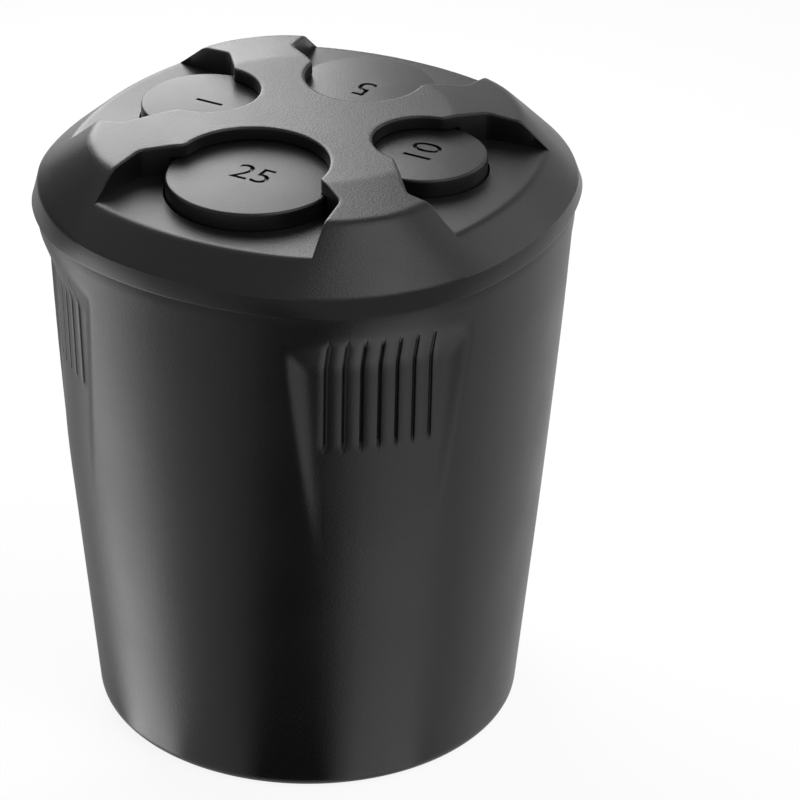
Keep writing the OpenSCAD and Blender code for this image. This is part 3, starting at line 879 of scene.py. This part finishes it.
def cap_sheet(cap, stack, side_offset):
    """The upper surface of the cap: arms, notches with rounded edges, decks and bevel."""
    _, _, deck, _, top = cap_heights(cap)
    wall = top - deck
    bm = bmesh.new()
    cross, mark = cap_plan(cap, stack, side_offset, bm)
    raised = bmesh.ops.extrude_face_region(bm, geom=[cross])["geom"]
    lifted = [item for item in raised if isinstance(item, bmesh.types.BMVert)]
    bmesh.ops.translate(bm, vec=(0, 0, wall), verts=lifted)
    bmesh.ops.delete(bm, geom=[cross], context="FACES_ONLY")
    known = set(lifted)
    edges = [
        edge for edge in bm.edges
        if all(vert in known and vert[mark] == 1 for vert in edge.verts)
    ]
    bmesh.ops.bevel(
        bm, geom=edges, offset=cap.edge_round, offset_type="OFFSET", segments=NOTCH_SEGMENTS, profile=0.5,
        affect="EDGES", clamp_overlap=True, material=-1,
    )
    count = math.ceil(cap.corner_r / cap.grid)
    for normal in ((1, 0, 0), (0, 1, 0)):
        for index in range(-count, count + 1):
            bmesh.ops.bisect_plane(
                bm, geom=bm.verts[:] + bm.edges[:] + bm.faces[:], dist=MERGE,
                plane_co=Vector(normal) * (index + 0.5) * cap.grid, plane_no=normal,
            )
    for vert in bm.verts:
        low, high = cap_surface(cap, side_offset, vert.co.x, vert.co.y)
        vert.co.z = low + (high - low) * vert.co.z / wall
    bmesh.ops.remove_doubles(bm, verts=bm.verts, dist=SHEET_MERGE)
    bmesh.ops.dissolve_degenerate(bm, edges=bm.edges, dist=SHEET_MERGE)
    return bm


def make_cap(cap, stack, side_offset):
    """The bmesh of the cap before its coin ways are cut: sheet, band, skirt and ceiling."""
    foot, _, deck, _, _ = cap_heights(cap)
    bm = cap_sheet(cap, stack, side_offset)
    rim = [edge for edge in bm.edges if edge.is_boundary]
    column = bm.verts.layers.float_vector.new("band_top")

    def on_bevel(inset):
        def place(vert):
            turn = math.atan2(vert.co.y, vert.co.x)
            radius = outline_r(cap, side_offset, turn) - inset
            x, y = radius * math.cos(turn), radius * math.sin(turn)
            return Vector((x, y, bevel_z(cap, side_offset, x, y)))
        return place

    def on_band(share, inset):
        def place(vert):
            top = vert[column]
            turn = math.atan2(top.y, top.x)
            radius = four_sided_r(turn, cap.corner_r, cap.flat_r, side_offset, cap.rim_soft) - inset
            low = Vector((radius * math.cos(turn), radius * math.sin(turn), foot))
            return top.lerp(low, share)
        return place

    edges = extrude_ring(bm, rim, on_bevel(cap.band_round))
    edges = extrude_ring(bm, edges, on_bevel(0))
    for edge in edges:
        for vert in edge.verts:
            vert[column] = vert.co
    edges = extrude_ring(bm, edges, on_band(cap.band_round / cap.band_h, 0))
    edges = extrude_ring(bm, edges, on_band(1 - cap.band_round / cap.band_h, 0))
    edges = extrude_ring(bm, edges, on_band(1, cap.band_round / BAND_TUCK))
    hollow_r = cap.skirt_r - cap.skirt_t
    low = foot - cap.skirt_h
    ceiling = deck - cap.deck_t
    for radius, z in ((cap.skirt_r, foot), (cap.skirt_r, low), (hollow_r, low), (hollow_r, ceiling)):
        edges = extrude_ring(bm, edges, on_ring(radius, z))
    bmesh.ops.edgeloop_fill(bm, edges=edges)
    bmesh.ops.recalc_face_normals(bm, faces=bm.faces)
    return bm


def coin_ways(cap, stack):
    """Cutters of the four ways of the coins: tube seat and bore, and the way out under the lips."""
    _, _, deck, lips, _ = cap_heights(cap)
    under = deck - cap.deck_t
    below = under - CUT_BELOW
    seat_z = under + stack.tube_seat
    shapes = []
    for coin in COINS:
        axis = stack_middle(coin)
        bore = bore_r(stack, coin)
        seat = bore + stack.tube_wall + stack.seat_gap
        profile = [(0, below), (seat, below), (seat, seat_z), (bore, seat_z), (bore, lips), (0, lips)]
        shapes.append(spun(profile, axis))
        low = Vector((0, -bore - WAY_BESIDE, deck + WAY_OFF_DECK))
        high = Vector((cap.corner_r, bore + WAY_BESIDE, lips - WAY_OFF_LIPS))
        shapes.append(box_shape(low, high, outward_turn(axis), axis))
    return shapes


class HOLDER_OT_cap(bpy.types.Operator):
    """Makes the cap with its cross, lips and notches"""

    bl_idname = "holder.cap"
    bl_label = "Cap"

    def execute(self, context):
        cap = context.scene.cap_sizes
        stack = context.scene.stack_sizes
        bm = make_cap(cap, stack, context.scene.cup_sizes.side_offset)
        mesh = cut_with("top_cap_shell", bm, coin_ways(cap, stack))
        place_mesh("top_cap_shell", mesh, plastic(context, "shell"), HOUSING, ["top_cap"])
        return {"FINISHED"}


def number_cutter(stack, coin, axis, top):
    """Sunk number of a pusher, its head towards the middle of the cap."""
    text = bpy.data.curves.new("number", "FONT")
    text.body = NUMBERS[coin]
    text.align_x = "CENTER"
    text.align_y = "CENTER"
    text.size = stack.number_size
    text.extrude = stack.number_depth
    text.resolution_u = NUMBER_CURVE
    holder = add_object("number", text)
    mesh = finished_mesh(holder)
    bm = bmesh.new()
    bm.from_mesh(mesh)
    turn = outward_turn(axis) + math.pi / 2
    bmesh.ops.remove_doubles(bm, verts=bm.verts, dist=MERGE)
    bmesh.ops.rotate(bm, cent=(0, 0, 0), matrix=Matrix.Rotation(turn, 3, "Z"), verts=bm.verts)
    bmesh.ops.translate(bm, vec=axis + Vector((0, 0, top)), verts=bm.verts)
    bpy.data.objects.remove(holder)
    bpy.data.curves.remove(text)
    bpy.data.meshes.remove(mesh)
    return bm


def make_pusher(stack, coin):
    """The bmesh of a pusher without its number: a rounded disc with a skirt."""
    low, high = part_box(coin + "_pusher")
    radius = coin_r(stack, coin)
    inner = radius - stack.pusher_wall
    edge = stack.pusher_round
    profile = [(0, high.z)]
    profile += reversed(quarter_round(radius - edge, high.z - edge, edge, 0, 90, PUSHER_POINTS))
    profile += [(radius, low.z), (inner, low.z), (inner, high.z - stack.pusher_top)]
    profile.append((0, high.z - stack.pusher_top))
    return spun(profile, stack_middle(coin), PUSHER_STEPS)


class HOLDER_OT_pushers(bpy.types.Operator):
    """Makes the four sprung pushers with their numbers"""

    bl_idname = "holder.pushers"
    bl_label = "Pushers"

    def execute(self, context):
        stack = context.scene.stack_sizes
        material = plastic(context, "pusher")
        for coin in COINS:
            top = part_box(coin + "_pusher")[1].z
            number = number_cutter(stack, coin, stack_middle(coin), top)
            name = coin + "_pusher_disc"
            mesh = cut_with(name, make_pusher(stack, coin), [number])
            place_mesh(name, mesh, material, coin + "_plunger", [coin + "_pusher"])
        return {"FINISHED"}


def ring_profile(inner, outer, low, high, edge):
    """Profile of an upright ring with rounds on its upper edges."""
    profile = [(inner, low), (outer, low)]
    profile += quarter_round(outer - edge, high - edge, edge, 0, 90, EDGE_POINTS)
    profile += quarter_round(inner + edge, high - edge, edge, 90, 180, EDGE_POINTS)
    return profile


def make_plate(stack):
    """The bmesh of the plate under the springs: a disc with a ring for each tube."""
    low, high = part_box("spring_plate")
    disc_r = (high.x - low.x) / 2
    top = low.z + stack.plate_t
    edge = stack.tube_round
    profile = [(0, low.z), (disc_r, low.z)]
    profile += quarter_round(disc_r - edge, top - edge, edge, 0, 90, EDGE_POINTS)
    profile.append((0, top))
    bm = spun(profile, Vector((0, 0, 0)))
    for coin in COINS:
        outer = bore_r(stack, coin) - stack.ring_gap
        inner = outer - stack.ring_wall
        shape = spun(ring_profile(inner, outer, top - edge, high.z, edge), stack_middle(coin))
        ring = mesh_of("ring", shape)
        bm.from_mesh(ring)
        bpy.data.meshes.remove(ring)
    return bm


class HOLDER_OT_tubes(bpy.types.Operator):
    """Makes the four coin tubes and the plate that they stand on"""

    bl_idname = "holder.tubes"
    bl_label = "Tubes and plate"

    def execute(self, context):
        stack = context.scene.stack_sizes
        material = plastic(context, "inner")
        for coin in COINS:
            low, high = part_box(coin + "_tube")
            bore = bore_r(stack, coin)
            profile = ring_profile(bore, bore + stack.tube_wall, low.z, high.z, stack.tube_round)
            bm = spun(profile, stack_middle(coin))
            new_piece(coin + "_tube_wall", bm, material, HOUSING, [coin + "_tube"])
        new_piece("spring_plate_disc", make_plate(stack), material, HOUSING, ["spring_plate"])
        return {"FINISHED"}


def make_coil(stack, coin, axis, low, high):
    """The bmesh of a spring: wire with an upright leg at each end, wound between two heights."""
    turns = getattr(stack, coin + "_turns")
    radius = coin_r(stack, coin) - stack.pusher_wall - stack.spring_gap - stack.wire_d / 2
    rise = high - low - 2 * stack.leg
    steps = COIL_STEPS * turns
    foot = axis + Vector((radius, 0, low))
    head = axis + Vector((radius, 0, high))
    half_leg = Vector((0, 0, stack.leg / 2))
    bm = bmesh.new()
    wire = bmesh.ops.create_circle(bm, segments=WIRE_SIDES, radius=stack.wire_d / 2)["verts"]
    bmesh.ops.translate(bm, vec=foot, verts=wire)
    edges = extrude_ring(bm, bm.edges[:], lambda vert: vert.co + half_leg)
    half_lean = Matrix.Rotation(math.radians(-HALF_LEAN), 4, "X")
    full_lean = Matrix.Rotation(math.radians(-FULL_LEAN), 4, "X")
    bend = Matrix.Translation(foot + Vector((0, 0, stack.leg)))
    back = Matrix.Translation(-foot - half_leg)
    edges = extrude_ring(bm, edges, lambda vert: bend @ half_lean @ back @ vert.co)
    first = {vert for edge in edges for vert in edge.verts}
    for vert in first:
        vert.co = bend @ full_lean @ half_lean.inverted() @ bend.inverted() @ vert.co
    bmesh.ops.spin(
        bm, geom=list(first) + edges, cent=axis, axis=(0, 0, 1), angle=2 * math.pi * turns,
        steps=steps, dvec=(0, 0, rise / steps),
    )
    tail = [edge for edge in bm.edges if edge.is_boundary and edge.verts[0].co.z > low + rise]
    points = {vert: vert.co.copy() for edge in tail for vert in edge.verts}
    middle = sum(points.values(), Vector()) / len(points)
    upright = Matrix.Rotation(math.radians(FULL_LEAN), 4, "X")
    turn_up = Matrix.Translation(head) @ upright @ Matrix.Translation(-middle)
    extrude_ring(bm, tail, lambda vert: turn_up @ vert.co)
    ends = [edge for edge in bm.edges if edge.is_boundary]
    bmesh.ops.holes_fill(bm, edges=ends, sides=0)
    bmesh.ops.recalc_face_normals(bm, faces=bm.faces)
    return bm


class HOLDER_OT_springs(bpy.types.Operator):
    """Makes the four coil springs, each with a mesh of its own"""

    bl_idname = "holder.springs"
    bl_label = "Springs"

    def execute(self, context):
        stack = context.scene.stack_sizes
        material = spring_steel(context)
        for coin in COINS:
            low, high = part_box(coin + "_spring")
            axis = stack_middle(coin)
            bm = make_coil(stack, coin, axis, low.z, high.z)
            piece = new_piece(
                coin + "_spring_coil", bm, material, HOUSING, [coin + "_spring"], sharp=SHARP_WIRE
            )
            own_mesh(piece)
        return {"FINISHED"}


def seen_from(turn, lift):
    """Direction from the holder towards a turn from the front and a height, both in radians."""
    return Vector((math.sin(turn) * math.cos(lift), -math.cos(turn) * math.cos(lift), math.sin(lift)))


def beside_camera(right, up=0.0):
    """Direction from the holder, in degrees to the right of the camera and degrees up."""
    return seen_from(CAMERA_TURN + math.radians(right), math.radians(up))


def facing(way):
    """Turn of a camera, lamp or card that looks back along a direction from the holder."""
    return (-way).to_track_quat("-Z", "Y")


def photo_camera():
    """Camera at the viewing angle of the photograph."""
    camera = bpy.data.cameras.new("photo_view")
    camera.sensor_width = SENSOR
    camera.lens = LENS
    camera.shift_x = SHIFT
    eye = add_object("photo_view", camera)
    way = seen_from(CAMERA_TURN, CAMERA_LIFT)
    eye.location = Vector((0, 0, TARGET_Z)) + CAMERA_AWAY * way
    eye.rotation_euler = facing(way).to_euler()
    return eye


def soft_box(name, right, up, away, width, height, radiance):
    """A studio lamp that faces the holder from a spot round it, with an even brightness."""
    light = bpy.data.lights.new(name, "AREA")
    light.shape = "RECTANGLE"
    light.size = width
    light.size_y = height
    light.energy = radiance * math.pi * width * height
    lamp = add_object(name, light)
    way = beside_camera(right, up)
    lamp.location = LAMP_MIDDLE + way * away
    lamp.rotation_euler = facing(way).to_euler()
    lamp.visible_camera = False


def stage_sheet(name, bm, material):
    """A sheet of the stage, from a bmesh."""
    mesh = mesh_of(name, bm)
    mesh.materials.append(material)
    sheet = add_object(name, mesh)
    return sheet


def seen_rays(nodes, links):
    """Socket that is 1 for the rays that show the background: to the camera, in gloss and through glass."""
    path = nodes.new("ShaderNodeLightPath")
    seen = path.outputs["Is Camera Ray"]
    for ray in ("Is Glossy Ray", "Is Transmission Ray"):
        either = nodes.new("ShaderNodeMath")
        either.operation = "MAXIMUM"
        links.new(seen, either.inputs[0])
        links.new(path.outputs[ray], either.inputs[1])
        seen = either.outputs["Value"]
    return seen


def pale_floor(context):
    """Pale floor that looks white to the camera and keeps a soft shadow."""
    material, nodes, links, matt = new_finish("pale_floor")
    matt.inputs["Base Color"].default_value = (*context.scene.finish_colours.floor, 1.0)
    matt.inputs["Roughness"].default_value = FLOOR_ROUGH
    glow = nodes.new("ShaderNodeEmission")
    share = nodes.new("ShaderNodeMath")
    share.operation = "MULTIPLY"
    share.inputs[1].default_value = FLOOR_GLOW
    blend = nodes.new("ShaderNodeMixShader")
    links.new(seen_rays(nodes, links), share.inputs[0])
    links.new(share.outputs["Value"], blend.inputs["Fac"])
    links.new(matt.outputs["BSDF"], blend.inputs[1])
    links.new(glow.outputs["Emission"], blend.inputs[2])
    links.new(blend.outputs["Shader"], nodes["Material Output"].inputs["Surface"])
    return material


def card_white():
    """White of the cards, as bright as each point of a card says."""
    material, nodes, links, shader = new_finish("card_white")
    shader.inputs["Base Color"].default_value = (0.0, 0.0, 0.0, 1.0)
    shader.inputs["Specular IOR Level"].default_value = 0.0
    shader.inputs["Emission Color"].default_value = (1.0, 1.0, 1.0, 1.0)
    shine = nodes.new("ShaderNodeAttribute")
    shine.attribute_name = "shine"
    links.new(shine.outputs["Fac"], shader.inputs["Emission Strength"])
    return material


def gloss_card(name, bm, material):
    """A card of the stage that shows in gloss only."""
    card = stage_sheet(name, bm, material)
    card.visible_camera = False
    card.visible_diffuse = False
    card.visible_shadow = False


def band_shine(turn):
    """Brightness of the floor's card at a turn of the wall, in degrees."""
    for (first, low), (last, high) in zip(FLOOR_BANDS, FLOOR_BANDS[1:]):
        if turn <= last:
            return low + (high - low) * (turn - first) / (last - first)
    return FLOOR_BANDS[-1][1]


def floor_card(material):
    """The card on the floor: slices that run as the wall mirrors them."""
    bm = bmesh.new()
    shine = bm.verts.layers.float.new("shine")
    edges = []
    for turn in spread(FLOOR_BANDS[0][0], FLOOR_BANDS[-1][0], FAN_SLICES + 1):
        near = beside_camera(turn) * FAN_START + Vector((0, 0, FAN_LIFT))
        far = near + beside_camera(FAN_TURN * turn) * FAN_LENGTH
        edge = [bm.verts.new(near), bm.verts.new(far)]
        for vert in edge:
            vert[shine] = band_shine(turn)
        edges.append(edge)
    for (near, far), (next_near, next_far) in zip(edges, edges[1:]):
        bm.faces.new((near, far, next_far, next_near))
    gloss_card("floor_card", bm, material)


def side_flag(name, right, up, away, width, height, brightness, material):
    """A standing card that faces the holder from a spot round it."""
    bm = bmesh.new()
    shine = bm.verts.layers.float.new("shine")
    bmesh.ops.create_grid(bm, x_segments=1, y_segments=1, size=0.5)
    bmesh.ops.scale(bm, vec=(width, height, 1), verts=bm.verts)
    way = beside_camera(right, up)
    spot = Matrix.Translation(LAMP_MIDDLE + way * away)
    bmesh.ops.transform(bm, matrix=spot @ facing(way).to_matrix().to_4x4(), verts=bm.verts)
    for vert in bm.verts:
        vert[shine] = brightness
    gloss_card(name, bm, material)


def studio_world():
    """White where it is seen, dim where it lights."""
    world = bpy.data.worlds.new("studio")
    world.use_nodes = True
    nodes, links = world.node_tree.nodes, world.node_tree.links
    dim = nodes["Background"]
    dim.inputs["Color"].default_value = (1.0, 1.0, 1.0, 1.0)
    dim.inputs["Strength"].default_value = WORLD_LIGHT
    white = nodes.new("ShaderNodeBackground")
    white.inputs["Color"].default_value = (1.0, 1.0, 1.0, 1.0)
    blend = nodes.new("ShaderNodeMixShader")
    links.new(seen_rays(nodes, links), blend.inputs["Fac"])
    links.new(dim.outputs["Background"], blend.inputs[1])
    links.new(white.outputs["Background"], blend.inputs[2])
    links.new(blend.outputs["Shader"], nodes["World Output"].inputs["Surface"])
    return world


class HOLDER_OT_stage(bpy.types.Operator):
    """Sets up the camera, the floor and the studio light"""

    bl_idname = "holder.stage"
    bl_label = "Stage"

    def execute(self, context):
        scene = context.scene
        scene.camera = photo_camera()
        bm = bmesh.new()
        bmesh.ops.create_grid(bm, x_segments=1, y_segments=1, size=FLOOR_HALF)
        bmesh.ops.translate(bm, vec=(0, 0, -FLOOR_GAP), verts=bm.verts)
        stage_sheet("floor", bm, pale_floor(context))
        white = card_white()
        floor_card(white)
        for name, sizes in SOFT_BOXES.items():
            soft_box(name, *sizes)
        for name, sizes in SIDE_FLAGS.items():
            side_flag(name, *sizes, white)
        scene.world = studio_world()
        scene.view_settings.view_transform = "Standard"
        return {"FINISHED"}


class HOLDER_PT_panel(bpy.types.Panel):
    """Lists the pieces of the coin holder"""

    bl_label = "Coin holder"
    bl_idname = "HOLDER_PT_panel"
    bl_space_type = "VIEW_3D"
    bl_region_type = "UI"
    bl_category = "Coin holder"

    def draw(self, context):
        for operator in OPERATORS:
            self.layout.operator(operator.bl_idname)


GROUPS = {
    "cup_sizes": CupSizes,
    "cap_sizes": CapSizes,
    "stack_sizes": StackSizes,
    "finish_colours": FinishColours,
}
OPERATORS = (
    HOLDER_OT_stage,
    HOLDER_OT_cup,
    HOLDER_OT_cap,
    HOLDER_OT_pushers,
    HOLDER_OT_tubes,
    HOLDER_OT_springs,
)


def register():
    """Registers the sizes, the operators and the panel."""
    for name, group in GROUPS.items():
        bpy.utils.register_class(group)
        setattr(bpy.types.Scene, name, PointerProperty(type=group))
    for item in (*OPERATORS, HOLDER_PT_panel):
        bpy.utils.register_class(item)


def unregister():
    """Takes all of them back."""
    for item in (HOLDER_PT_panel, *reversed(OPERATORS)):
        bpy.utils.unregister_class(item)
    for name, group in reversed(GROUPS.items()):
        delattr(bpy.types.Scene, name)
        bpy.utils.unregister_class(group)


def main():
    """Builds the holder."""
    register()
    bpy.ops.holder.stage()
    bpy.ops.holder.cup()
    bpy.ops.holder.cap()
    bpy.ops.holder.pushers()
    bpy.ops.holder.tubes()
    bpy.ops.holder.springs()


if __name__ == "__main__":
    main()
